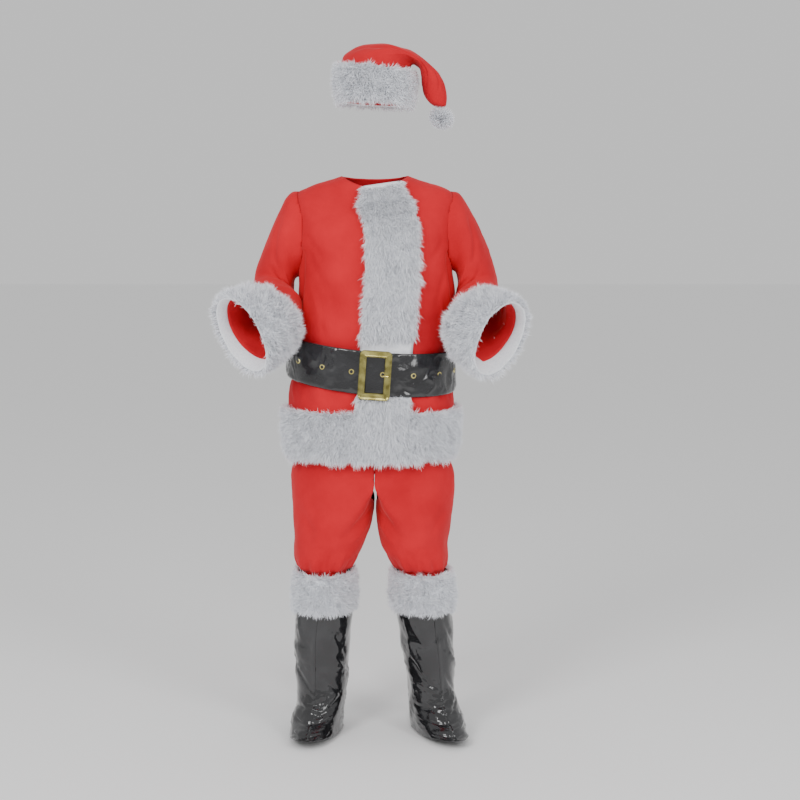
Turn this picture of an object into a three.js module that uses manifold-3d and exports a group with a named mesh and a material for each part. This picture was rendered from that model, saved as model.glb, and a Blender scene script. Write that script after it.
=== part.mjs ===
// Santa suit: hat, jacket, belt, trousers and boot covers, hollow as worn.
// Millimetres, +Z up. The wearer faces -Y, so the wearer's right side is -X.
// The origin is the middle of the neck opening, level with the tops of the shoulders.

import * as THREE from 'three';
import { mergeVertices } from 'three/addons/utils/BufferGeometryUtils.js';
import Module from 'manifold-3d';

const wasm = await Module();
wasm.setup();

// Driving sizes
const PLUSH = 2;              // red cloth
const VINYL = 1.5;            // shiny black cloth of the boot covers
const SEAM = 0.3;             // gap between pieces
const FUR_REACH = 18;         // how far the pile of the jacket's trim stands off
const BOOT_FUR_REACH = 12;
const HAT_FUR_REACH = 17;
const PLACKET_WIDTH = 132;
const BELT_WIDTH = 112;
const BELT_THICK = 3;
const EYELET = { outer: 7.5, inner: 4.5, height: 1.6, spacing: 80, sides: 8 };
const BUCKLE = { width: 82, height: 126, bar: 17, thick: 7, corner: 11, tilt: 4, x: 2, z: -497 };
const POMPOM_RADIUS = 27;
const DEGREE = Math.PI / 180;

const red = new THREE.MeshStandardMaterial({ color: '#b81726', roughness: 0.9, metalness: 0 });
const fur = new THREE.MeshStandardMaterial({ color: '#eef1f5', roughness: 1, metalness: 0 });
const black = new THREE.MeshStandardMaterial({ color: '#141416', roughness: 0.2, metalness: 0 });
const gold = new THREE.MeshStandardMaterial({ color: '#b59a3a', roughness: 0.3, metalness: 1 });

const suit = new THREE.Group();
suit.name = 'santa_suit';

// A table turns rows of numbers into rows with named columns.
function table(names, rows) {
  const keys = names.split(' ');
  return rows.map((row) => Object.fromEntries(keys.map((key, i) => [key, row[i]])));
}

// Torso sections from hem to neck. z is the height at the sides; the front and the back hang lower.
// left, right, front and back are the distances from the middle to the cloth.
const TORSO = table('z front_drop back_drop left right front back', [
  [-716, 0, 0, 202, 226, 152, 132],
  [-655, 0, 0, 205, 228, 155, 133],
  [-596, 0, 0, 211, 229, 158, 133],
  [-548, 0, 0, 205, 227, 159, 130],
  [-490, 0, 0, 197, 213, 153, 124],
  [-425, 0, 0, 196, 211, 150, 124],
  [-365, 0, 0, 206, 206, 149, 126],
  [-295, 0, 0, 209, 201, 145, 128],
  [-220, 4, 2, 203, 201, 138, 128],
  [-150, 12, 6, 205, 204, 130, 126],
  [-95, 24, 12, 208, 208, 119, 121],
  [-55, 38, 18, 208, 208, 106, 112],
  [-32, 44, 20, 200, 200, 96, 102],
  [-19, 44, 20, 176, 176, 88, 92],
  [-4, 38, 14, 128, 128, 80, 80],
  [10, 30, 6, 86, 86, 74, 68],
]);

// Sleeve sections: centre, the way the sleeve runs, the lean of its top edge from upright, and
// half its size along and across that edge.
const SLEEVE_COLUMNS = 'x y z run_x run_y run_z lean tall deep';
const RIGHT_SLEEVE = table(SLEEVE_COLUMNS, [
  [-150, 12, -134, -1, 0, 0, 0, 101, 70],
  [-210, 12, -143, -1, 0, -0.04, 2, 112, 75],
  [-239, 15, -194, -0.97, 0, -0.25, 14, 93, 78],
  [-253, 18, -238, -0.8, -0.1, -0.5, 30, 76, 76],
  [-263, 14, -284, -0.5, -0.42, -0.76, 52, 64, 74],
  [-262, -45, -325, -0.22, -0.85, -0.47, 46, 73, 72],
  [-274, -122, -355, -0.36, -0.82, -0.44, 38, 84, 76],
  [-333, -197, -392, -0.68, -0.62, -0.39, 6, 98, 84],
]);
const LEFT_SLEEVE = table(SLEEVE_COLUMNS, [
  [150, 12, -128, 1, 0, 0, 0, 96, 70],
  [212, 12, -135, 1, 0, -0.04, -2, 103, 75],
  [240, 15, -182, 0.97, 0, -0.25, -14, 87, 78],
  [254, 18, -228, 0.8, -0.1, -0.5, -30, 75, 76],
  [269, 14, -286, 0.5, -0.42, -0.76, -54, 63, 74],
  [269, -45, -332, 0.22, -0.85, -0.47, -46, 70, 72],
  [266, -122, -362, 0.36, -0.82, -0.44, -38, 83, 76],
  [318, -197, -402, 0.68, -0.62, -0.39, 8, 98, 84],
]);
const SLEEVE_HEM_ROW = 6.6;
const CUFF_ROWS = [5.98, 7];

// Trouser leg sections from waist to hem. inner and outer are distances from the body's middle;
// round goes from 0, where the legs share one body, to 1, where the leg is a tube.
const LEG_COLUMNS = 'z inner outer front back round';
const RIGHT_LEG = table(LEG_COLUMNS, [
  [-430, 0.2, 184, 116, 100, 0],
  [-520, 0.2, 194, 128, 108, 0],
  [-620, 0.2, 207, 136, 116, 0],
  [-716, 0.2, 216, 138, 118, 0],
  [-785, 0.4, 226, 136, 124, 0],
  [-850, 2, 222, 128, 124, 0.35],
  [-905, 9, 220, 118, 118, 0.8],
  [-960, 28, 219, 110, 112, 1],
  [-998, 46, 219, 104, 106, 1],
  [-1022, 62, 213, 94, 96, 1],
  [-1039, 76, 198, 76, 78, 1],
  [-1100, 79, 195, 73, 75, 1],
]);
const LEFT_LEG = table(LEG_COLUMNS, [
  [-430, 0.2, 172, 116, 100, 0],
  [-520, 0.2, 180, 128, 108, 0],
  [-620, 0.2, 190, 136, 116, 0],
  [-716, 0.2, 197, 138, 118, 0],
  [-785, 0.4, 212, 136, 124, 0],
  [-850, 1, 209, 128, 124, 0.35],
  [-905, 4, 202, 118, 118, 0.8],
  [-960, 12, 194, 110, 112, 1],
  [-998, 32, 196, 104, 106, 1],
  [-1022, 48, 193, 94, 96, 1],
  [-1039, 64, 184, 76, 78, 1],
  [-1100, 67, 182, 73, 75, 1],
]);
const CROTCH_ROW = 5;
const CROTCH_START_ROW = 3.6;

// Boot cover sections from top to hem: middle, half width, reach to the toe and to the heel.
const BOOT_COLUMNS = 'z x y half toe heel toe_drop';
const RIGHT_BOOT = table(BOOT_COLUMNS, [
  [-1042, -136, 0, 70, 84, 84, 0],
  [-1138, -138, 0, 75, 88, 88, 0],
  [-1225, -145, 0, 76, 86, 87, 0],
  [-1292, -146, 0, 72, 82, 84, 0],
  [-1348, -146, 0, 68, 84, 82, 2],
  [-1392, -147, 0, 65, 100, 80, 8],
  [-1424, -152, 0, 66, 136, 83, 10],
  [-1448, -155, 0, 67, 172, 87, 6],
  [-1474, -156, 0, 67, 196, 90, -22],
]);
const LEFT_BOOT = table(BOOT_COLUMNS, [
  [-1042, 124, 0, 70, 84, 84, 0],
  [-1138, 129, 0, 73, 88, 88, 0],
  [-1225, 138, 0, 70, 86, 87, 0],
  [-1292, 146, 0, 65, 82, 84, 0],
  [-1348, 149, 0, 61, 84, 82, 2],
  [-1392, 153, 0, 62, 104, 80, 8],
  [-1424, 158, 0, 66, 140, 83, 10],
  [-1448, 160, 0, 67, 172, 87, 6],
  [-1474, 162, 0, 66, 196, 90, -22],
]);
const RIGHT_TOE_TURN = -8.5;
const LEFT_TOE_TURN = 17;
const BOOT_FUR_ROWS = [0, 1.02];

// Hat sections from the opening to the tip, each between its inner edge, round which the crown
// folds over to the wearer's left, and its outer edge.
const HAT = table('in_x in_z out_x out_z deep', [
  [87, 196, -87, 204, 104],
  [90, 268, -88, 288, 108],
  [95, 290, -82, 315, 102],
  [101, 297, -44, 340, 96],
  [107, 297, 20, 349, 84],
  [113, 293, 80, 335, 70],
  [118, 284, 130, 308, 56],
  [121, 268, 167, 272, 44],
  [124, 246, 184, 240, 36],
  [130, 219, 188, 212, 29],
  [142, 198, 186, 192, 21],
  [160, 186, 180, 184, 8],
]);
const HAT_BAND_ROWS = [-0.02, 1.06];
const POMPOM = { x: 173, y: 0, z: 158 };

// The belt's middle line falls towards the front and towards the wearer's left.
const BELT = { left: 214, right: 236, front: 171, back: 137, z: -472, side_fall: 20, front_fall: 21.5 };

// The largest folds: from one angle and row to another, with half width and depth in millimetres.
const FOLD_COLUMNS = 'angle row to_angle to_row width depth';
const TORSO_FOLDS = table(FOLD_COLUMNS, [
  [205, 8.6, 196, 6.4, 16, -7],
  [338, 8.6, 345, 6.8, 15, -7],
  [214, 4.2, 224, 2.2, 13, -5],
  [236, 4.1, 232, 2.4, 12, 4],
  [318, 4.0, 326, 2.5, 13, -5],
  [150, 8.4, 158, 6.2, 18, -7],
  [32, 8.4, 24, 6.2, 18, -7],
  [70, 4.2, 76, 2.2, 15, 5],
  [112, 4.2, 106, 2.4, 14, -5],
]);
const SLEEVE_FOLDS = table(FOLD_COLUMNS, [
  [150, 3.7, 230, 4.5, 11, -7],
  [130, 4.3, 235, 5.1, 10, 6],
  [160, 4.9, 240, 5.7, 10, -6],
  [40, 1.5, 85, 2.9, 14, -5],
  [320, 1.6, 285, 3.1, 14, -5],
  [100, 5.0, 60, 6.2, 12, 4],
]);
const LEG_FOLDS = table(FOLD_COLUMNS, [
  [215, 4.4, 250, 6.6, 15, -6],
  [300, 4.5, 285, 7.0, 15, 5],
  [140, 4.6, 110, 6.8, 16, -6],
  [60, 4.6, 75, 7.0, 16, 5],
  [262, 7.2, 258, 9.4, 9, -5],
  [240, 7.4, 238, 9.5, 8, 5],
  [287, 7.6, 290, 9.5, 8, 5],
  [95, 7.3, 92, 9.4, 9, -5],
]);
const BOOT_FOLDS = table(FOLD_COLUMNS, [
  [270, 0.9, 270, 5.2, 9, 5],
  [180, 1.9, 262, 2.1, 9, -4],
  [195, 5.3, 300, 4.5, 9, -5],
  [340, 4.4, 275, 5.6, 8, -4],
  [90, 1.4, 90, 6.4, 9, 4],
  [40, 5.0, 140, 5.6, 10, -5],
]);
const HAT_FOLDS = table(FOLD_COLUMNS, [
  [150, 1.8, 35, 5.2, 10, -5],
  [215, 2.4, 300, 6.4, 10, -5],
  [120, 4.4, 60, 8.2, 8, -4],
  [240, 3.6, 320, 8.4, 8, -4],
]);

// Values between rows, smooth and with no overshoot.
function between(rows, place) {
  const first = Math.min(Math.max(Math.floor(place), 0), rows.length - 2);
  const t = place - first;
  const rise = (key, k) => rows[k + 1][key] - rows[k][key];
  const slope = (key, k) => {
    if (k === 0) return rise(key, 0);
    if (k === rows.length - 1) return rise(key, k - 1);
    const before = rise(key, k - 1);
    const after = rise(key, k);
    return before * after > 0 ? (2 * before * after) / (before + after) : 0;
  };
  const values = {};
  for (const key of Object.keys(rows[0])) {
    const start = rows[first][key];
    const end = rows[first + 1][key];
    const m0 = slope(key, first);
    const m1 = slope(key, first + 1);
    const t2 = t * t;
    const t3 = t2 * t;
    values[key] = (2 * t3 - 3 * t2 + 1) * start + (t3 - 2 * t2 + t) * m0
      + (3 * t2 - 2 * t3) * end + (t3 - t2) * m1;
  }
  return values;
}

function power(value, exponent) {
  return Math.sign(value) * Math.abs(value) ** exponent;
}

// Forms. Each gives the point of its outer surface at an angle and a row. Angle 0 is the wearer's
// left, 90 the back, 180 the right and 270 the front.
const TORSO_SQUARE = 0.9;

function torsoPoint(angle, row) {
  const s = between(TORSO, row);
  const c = Math.cos(angle * DEGREE);
  const d = Math.sin(angle * DEGREE);
  const x = power(c, TORSO_SQUARE) * (c > 0 ? s.left : s.right);
  const y = power(d, TORSO_SQUARE) * (d > 0 ? s.back : s.front);
  const drop = (d > 0 ? s.back_drop : s.front_drop) * d * d;
  return new THREE.Vector3(x, y, s.z - drop);
}

function sleevePoint(rows) {
  return (angle, row) => {
    const s = between(rows, row);
    const run = new THREE.Vector3(s.run_x, s.run_y, s.run_z).normalize();
    const top = new THREE.Vector3(-Math.sin(s.lean * DEGREE), 0, Math.cos(s.lean * DEGREE));
    top.addScaledVector(run, -run.dot(top)).normalize();
    const side = new THREE.Vector3().crossVectors(run, top);
    return new THREE.Vector3(s.x, s.y, s.z)
      .addScaledVector(top, s.tall * Math.cos(angle * DEGREE))
      .addScaledVector(side, s.deep * Math.sin(angle * DEGREE));
  };
}

// side is -1 for the right leg and 1 for the left one. Angle 0 is the outer side of the leg.
function legPoint(rows, side) {
  return (angle, row) => {
    const s = between(rows, row);
    const c = Math.cos(angle * DEGREE);
    const d = Math.sin(angle * DEGREE);
    const tube = (s.outer + s.inner) / 2 + ((s.outer - s.inner) / 2) * c;
    const shared = s.inner + (s.outer - s.inner) * Math.max(0, c);
    const x = tube * s.round + shared * (1 - s.round);
    return new THREE.Vector3(side * x, d * (d > 0 ? s.back : s.front), s.z);
  };
}

function bootPoint(rows, turn) {
  return (angle, row) => {
    const s = between(rows, row);
    const c = Math.cos(angle * DEGREE);
    const d = Math.sin(angle * DEGREE);
    const across = s.half * c;
    const along = d * (d > 0 ? s.heel : s.toe);
    const cosine = Math.cos(turn * DEGREE);
    const sine = Math.sin(turn * DEGREE);
    const drop = d < 0 ? s.toe_drop * d * d : 0;
    const x = s.x + across * cosine - along * sine;
    const y = s.y + across * sine + along * cosine;
    return new THREE.Vector3(x, y, s.z - drop);
  };
}

function hatPoint(angle, row) {
  const s = between(HAT, row);
  const half = (1 + Math.cos(angle * DEGREE)) / 2;
  const x = s.out_x + (s.in_x - s.out_x) * half;
  const z = s.out_z + (s.in_z - s.out_z) * half;
  return new THREE.Vector3(x, s.deep * Math.sin(angle * DEGREE), z);
}

function beltPoint(angle, height) {
  const c = Math.cos(angle * DEGREE);
  const d = Math.sin(angle * DEGREE);
  const x = c * (c > 0 ? BELT.left : BELT.right);
  const y = d * (d > 0 ? BELT.back : BELT.front);
  return new THREE.Vector3(x, y, BELT.z - BELT.side_fall * c + BELT.front_fall * d + height);
}

// The depth of the folds at an angle and row, with the form's millimetres in a degree and a row.
function foldDepth(folds, scale, angle, row) {
  let depth = 0;
  for (const fold of folds) {
    const turn = ((((angle - fold.angle) % 360) + 540) % 360) - 180;
    const px = turn * scale.degree;
    const py = (row - fold.row) * scale.row;
    const lx = (fold.to_angle - fold.angle) * scale.degree;
    const ly = (fold.to_row - fold.row) * scale.row;
    const t = (px * lx + py * ly) / (lx * lx + ly * ly);
    if (t <= 0 || t >= 1) continue;
    const away = Math.hypot(px - t * lx, py - t * ly) / fold.width;
    depth += fold.depth * Math.exp(-away * away) * Math.sqrt(4 * t * (1 - t));
  }
  return depth;
}

// A form with its folds, lifted off its surface.
function surface(point, folds = [], scale = { degree: 1, row: 1 }) {
  const stepAngle = 0.5;
  const stepRow = 0.02;
  const rawNormal = (angle, row) => {
    const around = point(angle + stepAngle, row).sub(point(angle - stepAngle, row));
    const along = point(angle, row + stepRow).sub(point(angle, row - stepRow));
    return around.cross(along).normalize();
  };
  const middle = point(0, 1).add(point(180, 1)).multiplyScalar(0.5);
  const side = Math.sign(rawNormal(0, 1).dot(point(0, 1).sub(middle)));
  return (angle, row, lift = 0) => {
    const depth = foldDepth(folds, scale, angle, row) + lift;
    return point(angle, row).addScaledVector(rawNormal(angle, row), side * depth);
  };
}

// Makes a closed geometry of corners and triangles, with its faces pointing out.
function closedGeometry(corners, triangles) {
  let volume = 0;
  for (const [a, b, c] of triangles) {
    volume += corners[a].dot(new THREE.Vector3().crossVectors(corners[b], corners[c]));
  }
  const faces = volume < 0 ? triangles.map(([a, b, c]) => [a, c, b]) : triangles;
  const geometry = new THREE.BufferGeometry();
  const numbers = new Float32Array(corners.flatMap((corner) => corner.toArray()));
  geometry.setAttribute('position', new THREE.BufferAttribute(numbers, 3));
  geometry.setIndex(faces.flat());
  return geometry;
}

// Joins closed loops of corners, one after another, into a ring or into a bar with end caps.
function loft(loops, ring = false) {
  const count = loops[0].length;
  const corners = loops.flat();
  const triangles = [];
  const joins = ring ? loops.length : loops.length - 1;
  for (let j = 0; j < joins; j += 1) {
    const next = (j + 1) % loops.length;
    for (let i = 0; i < count; i += 1) {
      const a = j * count + i;
      const b = j * count + ((i + 1) % count);
      const c = next * count + ((i + 1) % count);
      const d = next * count + i;
      triangles.push([a, b, c], [a, c, d]);
    }
  }
  if (!ring) {
    for (const [start, flip] of [[0, true], [(loops.length - 1) * count, false]]) {
      const middle = new THREE.Vector3();
      for (let i = 0; i < count; i += 1) middle.add(corners[start + i]);
      corners.push(middle.divideScalar(count));
      for (let i = 0; i < count; i += 1) {
        const a = start + i;
        const b = start + ((i + 1) % count);
        triangles.push(flip ? [b, a, corners.length - 1] : [a, b, corners.length - 1]);
      }
    }
  }
  return closedGeometry(corners, triangles);
}

function steps(from, to, count) {
  return Array.from({ length: count + 1 }, (_, i) => from + ((to - from) * i) / count);
}

// A wall of cloth all round a form, open at both ends.
function tube(form, rows, around, thickness) {
  const angles = steps(0, 360, around).slice(0, -1);
  const loops = [];
  for (const row of rows) loops.push(angles.map((angle) => form(angle, row)));
  for (const row of [...rows].reverse()) {
    loops.push(angles.map((angle) => form(angle, row, -thickness)));
  }
  return loft(loops, true);
}

// A panel of cloth between two edges, given as angles for each row.
function panel(form, rows, edges, across, thickness) {
  const loops = rows.map((row) => {
    const [from, to] = edges(row);
    const angles = steps(from, to, across);
    const outside = angles.map((angle) => form(angle, row));
    const inside = angles.map((angle) => form(angle, row, -thickness)).reverse();
    return [...outside, ...inside];
  });
  const count = across + 1;
  const corners = loops.flat();
  const triangles = [];
  const size = 2 * count;
  for (let j = 0; j < loops.length - 1; j += 1) {
    for (let i = 0; i < size; i += 1) {
      const a = j * size + i;
      const b = j * size + ((i + 1) % size);
      triangles.push([a, b, b + size], [a, b + size, a + size]);
    }
  }
  for (const [start, flip] of [[0, true], [(loops.length - 1) * size, false]]) {
    for (let i = 0; i < across; i += 1) {
      const a = start + i;
      const b = start + i + 1;
      const c = start + size - 2 - i;
      const d = start + size - 1 - i;
      if (flip) triangles.push([b, a, c], [c, a, d]);
      else triangles.push([a, b, c], [a, c, d]);
    }
  }
  return closedGeometry(corners, triangles);
}

// A closed block inside a form, for cutting.
function block(form, rows, around, lift, start = 0) {
  const angles = steps(start, start + 360, around).slice(0, -1);
  return loft(rows.map((row) => angles.map((angle) => form(angle, row, lift))));
}

// The section of a fur trim: how far along its width and how high each corner lies.
const PILE = table('along high', [
  [0, 0], [-0.03, 0.45], [0.08, 0.88], [0.5, 1], [0.92, 0.88], [1.03, 0.45], [1, 0],
]);

// A fur band round a form between two rows. Its underside starts in the cloth and is cut away.
const FUR_ROOT = -1;

function furBand(form, rows, angles, reach, ring) {
  const loops = angles.map((angle) => PILE.map((corner) => {
    const row = rows[0] + (rows[1] - rows[0]) * corner.along;
    return form(angle, row, FUR_ROOT + corner.high * (reach - FUR_ROOT));
  }));
  return loft(loops, ring);
}

function toSolid(geometry) {
  const bare = geometry.clone();
  for (const name of Object.keys(bare.attributes)) {
    if (name !== 'position') bare.deleteAttribute(name);
  }
  const merged = mergeVertices(bare, 1e-4);
  return new wasm.Manifold(new wasm.Mesh({
    numProp: 3,
    vertProperties: new Float32Array(merged.attributes.position.array),
    triVerts: new Uint32Array(merged.index.array),
  }));
}

// The largest body of a solid, as a geometry.
function toGeometry(solid) {
  const bodies = solid.decompose().sort((a, b) => b.volume() - a.volume());
  const mesh = bodies[0].getMesh();
  const geometry = new THREE.BufferGeometry();
  geometry.setAttribute('position', new THREE.BufferAttribute(mesh.vertProperties.slice(), 3));
  geometry.setIndex(new THREE.BufferAttribute(mesh.triVerts.slice(), 1));
  return geometry;
}

function add(name, geometry, material) {
  const mesh = new THREE.Mesh(geometry, material);
  mesh.name = name;
  suit.add(mesh);
  return mesh;
}

// Jacket
const torso = surface(torsoPoint, TORSO_FOLDS, { degree: 3.4, row: 65 });
const TORSO_TOP = TORSO.length - 1;
const TORSO_ROWS = [...steps(0, 10, 11), 11, 12, 13, 14, TORSO_TOP];
const SIDE_GAP = 0.06;

// The front edges meet under the fur strip, which lies a little to the wearer's left.
const PLACKET_LINE = table('middle', [
  [16], [17], [20], [23], [28], [32], [37], [42], [46], [46], [42], [36], [31], [27], [22], [18],
]);

function frontAngle(x, row) {
  const s = between(TORSO, row);
  const half = x > 0 ? s.left : s.right;
  const share = Math.min(Math.abs(x) / half, 0.98) ** (1 / TORSO_SQUARE);
  return 270 + Math.sign(x) * Math.asin(share) / DEGREE;
}

function openingAngle(row) {
  return frontAngle(between(PLACKET_LINE, row).middle, row);
}

const sleeves = {
  right: surface(sleevePoint(RIGHT_SLEEVE), SLEEVE_FOLDS, { degree: 1.35, row: 62 }),
  left: surface(sleevePoint(LEFT_SLEEVE), SLEEVE_FOLDS.map((fold) => ({
    ...fold, angle: 360 - fold.angle, to_angle: 360 - fold.to_angle,
  })), { degree: 1.35, row: 62 }),
};
const SLEEVE_AROUND = 20;
const SLEEVE_ROWS = [...steps(0, 2, 3), ...steps(2.45, SLEEVE_HEM_ROW, 9)];
const armholes = Object.values(sleeves).map((form) => (
  toSolid(block(form, [0, 2 / 3, 4 / 3, 2, 2.45], SLEEVE_AROUND, -PLUSH))
));

const jacketPanels = {
  jacket_back: { edges: () => [SIDE_GAP, 180 - SIDE_GAP], across: 16 },
  jacket_front_right: {
    edges: (row) => [180 + SIDE_GAP, openingAngle(row) - SIDE_GAP], across: 9,
  },
  jacket_front_left: {
    edges: (row) => [openingAngle(row) + SIDE_GAP, 360 - SIDE_GAP], across: 9,
  },
};
for (const [name, { edges, across }] of Object.entries(jacketPanels)) {
  let solid = toSolid(panel(torso, TORSO_ROWS, edges, across, PLUSH));
  for (const armhole of armholes) solid = solid.subtract(armhole);
  add(name, toGeometry(solid), red);
}

// The sleeves end where they meet the outside of the body.
const body = toSolid(loft(TORSO_ROWS.map((row) => (
  Object.values(jacketPanels).flatMap(({ edges, across }) => (
    steps(...edges(row), across).map((angle) => torso(angle, row, SEAM))
  ))
))));
for (const [side, form] of Object.entries(sleeves)) {
  const wall = toSolid(tube(form, SLEEVE_ROWS, SLEEVE_AROUND, PLUSH)).subtract(body);
  add(`jacket_sleeve_${side}`, toGeometry(wall), red);
  const angles = steps(0, 360, SLEEVE_AROUND).slice(0, -1);
  const arm = toSolid(block(form, [...SLEEVE_ROWS, CUFF_ROWS[1] + 0.1], SLEEVE_AROUND, SEAM));
  const cuff = toSolid(furBand(form, CUFF_ROWS, angles, FUR_REACH, true));
  add(`cuff_fur_${side}`, toGeometry(cuff.subtract(arm)), fur);
}

// The fur strip down the front, pressed flat under the belt.
const PLACKET_ROWS = [
  -0.14, 0.3, 0.9, 1.5, 2.1, 2.55, 2.9, 3.3, 3.8, 4.4, 5.0, 5.4, 5.8, 6.4, 7.2, 8, 9, 10, 11, 12, 13, 14, 15,
];
const PLACKET_ACROSS = table('along high', [
  [-0.5, 0], [-0.52, 0.5], [-0.44, 0.9], [-0.2, 1], [0.2, 1], [0.44, 0.9], [0.52, 0.5],
  [0.5, 0], [0.17, 0], [-0.17, 0],
]);

function placketReach(row) {
  const pressed = row > 2.8 && row < 5.5;
  return pressed ? 9 : FUR_REACH;
}

function placketPoint(corner, row) {
  const middle = between(PLACKET_LINE, row).middle;
  const narrowing = row > 12 ? 1 - 0.12 * (row - 12) : 1;
  const x = middle + corner.along * PLACKET_WIDTH * narrowing;
  const lift = FUR_ROOT + corner.high * (placketReach(row) - FUR_ROOT);
  return torso(frontAngle(x, Math.max(row, 0)), row, lift);
}
// The space that the belt takes up, which the fur under it leaves free.
const belt = surface(beltPoint);
const beltSpace = toSolid(loft(steps(0, 360, 72).slice(0, -1).map((angle) => {
  const reach = BELT_WIDTH / 2 + 1;
  const under = -BELT_THICK - 1.2;
  return [belt(angle, -reach, 9), belt(angle, reach, 9), belt(angle, reach, under), belt(angle, -reach, under)];
}), true));

const placket = toSolid(loft(PLACKET_ROWS.map((row) => (
  PLACKET_ACROSS.map((corner) => placketPoint(corner, row))
))));
add('placket_fur', toGeometry(placket.subtract(body).subtract(beltSpace)), fur);

// The fur round the hem, in three pieces with seams at the sides, either side of the strip.
const HEM_FUR_ROWS = [-0.06, 1.92];
const HEM_CLEAR = 2.2;
const hemGap = PLACKET_WIDTH * 0.52 + HEM_CLEAR;
const hemMiddle = PLACKET_LINE[1].middle;
const hemPieces = {
  hem_fur_right: [180 + SIDE_GAP, frontAngle(hemMiddle - hemGap, 1), 12],
  hem_fur_left: [frontAngle(hemMiddle + hemGap + 4, 1), 360 - SIDE_GAP, 10],
  hem_fur_back: [SIDE_GAP, 180 - SIDE_GAP, 20],
};
for (const [name, [from, to, count]] of Object.entries(hemPieces)) {
  const piece = toSolid(furBand(torso, HEM_FUR_ROWS, steps(from, to, count), FUR_REACH, false));
  add(name, toGeometry(piece.subtract(body)), fur);
}

// Trousers, two panels to a leg. The inner edge runs down the middle and round to the inseam.
const LEG_ROWS = [0, 1.5, 3, 3.6, 4.2, 4.7, ...steps(5.2, 8.5, 5), 9, 9.5, 10, 11];
for (const [side, rows, sign] of [['right', RIGHT_LEG, -1], ['left', LEFT_LEG, 1]]) {
  const form = surface(legPoint(rows, sign), LEG_FOLDS, { degree: 1.5, row: 58 });
  const inward = (row) => {
    const t = Math.min(Math.max((row - CROTCH_START_ROW) / (CROTCH_ROW - CROTCH_START_ROW), 0), 1);
    return 90 * t ** 2.2;
  };
  const gap = 0.15;
  const front = (row) => [180 + gap + (90 - inward(row)), 360 - gap];
  const back = (row) => [gap, 180 - gap - (90 - inward(row))];
  add(`trousers_${side}_front`, panel(form, LEG_ROWS, front, 8, PLUSH), red);
  add(`trousers_${side}_back`, panel(form, LEG_ROWS, back, 8, PLUSH), red);
}

// Boot covers, an outer and an inner panel each, joined down the front and the back.
const BOOT_ROWS = steps(0, 8, 12);
for (const [side, rows, turn] of [
  ['right', RIGHT_BOOT, RIGHT_TOE_TURN], ['left', LEFT_BOOT, LEFT_TOE_TURN],
]) {
  const form = surface(bootPoint(rows, turn), BOOT_FOLDS, { degree: 1.35, row: 55 });
  const gap = 0.15;
  const halves = { left_half: [270 + gap, 450 - gap], right_half: [90 + gap, 270 - gap] };
  for (const [half, edges] of Object.entries(halves)) {
    const outer = half.startsWith(side);
    const name = `boot_cover_${side}_${outer ? 'outer' : 'inner'}`;
    add(name, panel(form, BOOT_ROWS, () => edges, 9, VINYL), black);
  }
  const angles = steps(270, 630, 18).slice(0, -1);
  const shaft = toSolid(block(form, [-0.2, ...BOOT_ROWS], 18, SEAM, 270));
  const trim = toSolid(furBand(form, BOOT_FUR_ROWS, angles, BOOT_FUR_REACH, true));
  add(`boot_fur_${side}`, toGeometry(trim.subtract(shaft)), fur);
}

// Hat: a cone of cloth folded over, a fur band and a pompom at the tip.
const hat = surface(hatPoint, HAT_FOLDS, { degree: 1.2, row: 45 });
const HAT_ROWS = [0, 1, ...steps(2, 11, 11)];
const hatAngles = steps(0, 360, 20).slice(0, -1);
const hatOutside = HAT_ROWS.map((row) => hatAngles.map((angle) => hat(angle, row)));
const hatInside = HAT_ROWS.slice(0, -3).map((row) => (
  hatAngles.map((angle) => hat(angle, row, -PLUSH))
));
add('hat_crown', loft([...hatOutside.toReversed(), ...hatInside]), red);
const head = toSolid(block(hat, [-0.2, ...HAT_ROWS.slice(0, 6)], 20, SEAM));
const band = toSolid(furBand(hat, HAT_BAND_ROWS, hatAngles, HAT_FUR_REACH, true));
add('hat_band', toGeometry(band.subtract(head)), fur);

const ball = new THREE.SphereGeometry(POMPOM_RADIUS, 14, 9);
for (const name of ['normal', 'uv']) ball.deleteAttribute(name);
add('hat_pompom', mergeVertices(ball, 1e-3), fur).position.set(POMPOM.x, POMPOM.y, POMPOM.z);

// Belt: one strap with a row of eyelets, its ends meeting behind the buckle.
const BELT_START = 262;
const beltAngles = steps(BELT_START + 0.1, BELT_START + 359.9, 44);
const half = BELT_WIDTH / 2;
const strapLoops = beltAngles.map((angle) => [
  belt(angle, -half), belt(angle, half), belt(angle, half, -BELT_THICK), belt(angle, -half, -BELT_THICK),
]);
let strap = toSolid(loft(strapLoops));

// Angles round the belt at equal steps, measured along it from the eyelet under the prong.
const PRONG_EYELET_ANGLE = 275.9;
function eyeletAngles() {
  const found = [PRONG_EYELET_ANGLE];
  const fine = 0.25;
  let travelled = 0;
  let last = belt(PRONG_EYELET_ANGLE, 0);
  const total = steps(0, 360, 360 / fine).reduce((sum, turn) => {
    const here = belt(PRONG_EYELET_ANGLE + turn, 0);
    const length = sum + here.distanceTo(last);
    last = here;
    return length;
  }, 0);
  const count = Math.round(total / EYELET.spacing);
  const pitch = total / count;
  for (let turn = fine; turn < 360 - fine && found.length < count; turn += fine) {
    const here = belt(PRONG_EYELET_ANGLE + turn, 0);
    travelled += here.distanceTo(last);
    last = here;
    if (travelled >= pitch * found.length) found.push(PRONG_EYELET_ANGLE + turn);
  }
  return found;
}

function eyeletGeometry() {
  const { outer, inner, height, sides } = EYELET;
  const section = [
    [inner, 0], [outer, 0], [outer - 0.6, height], [inner, height], [inner, 0],
  ].map(([x, y]) => new THREE.Vector2(x, y));
  const ring = new THREE.LatheGeometry(section, sides);
  for (const name of ['normal', 'uv']) ring.deleteAttribute(name);
  return mergeVertices(ring, 1e-3);
}

function outward(angle) {
  return belt(angle, 0, 1).sub(belt(angle, 0)).normalize();
}

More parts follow.
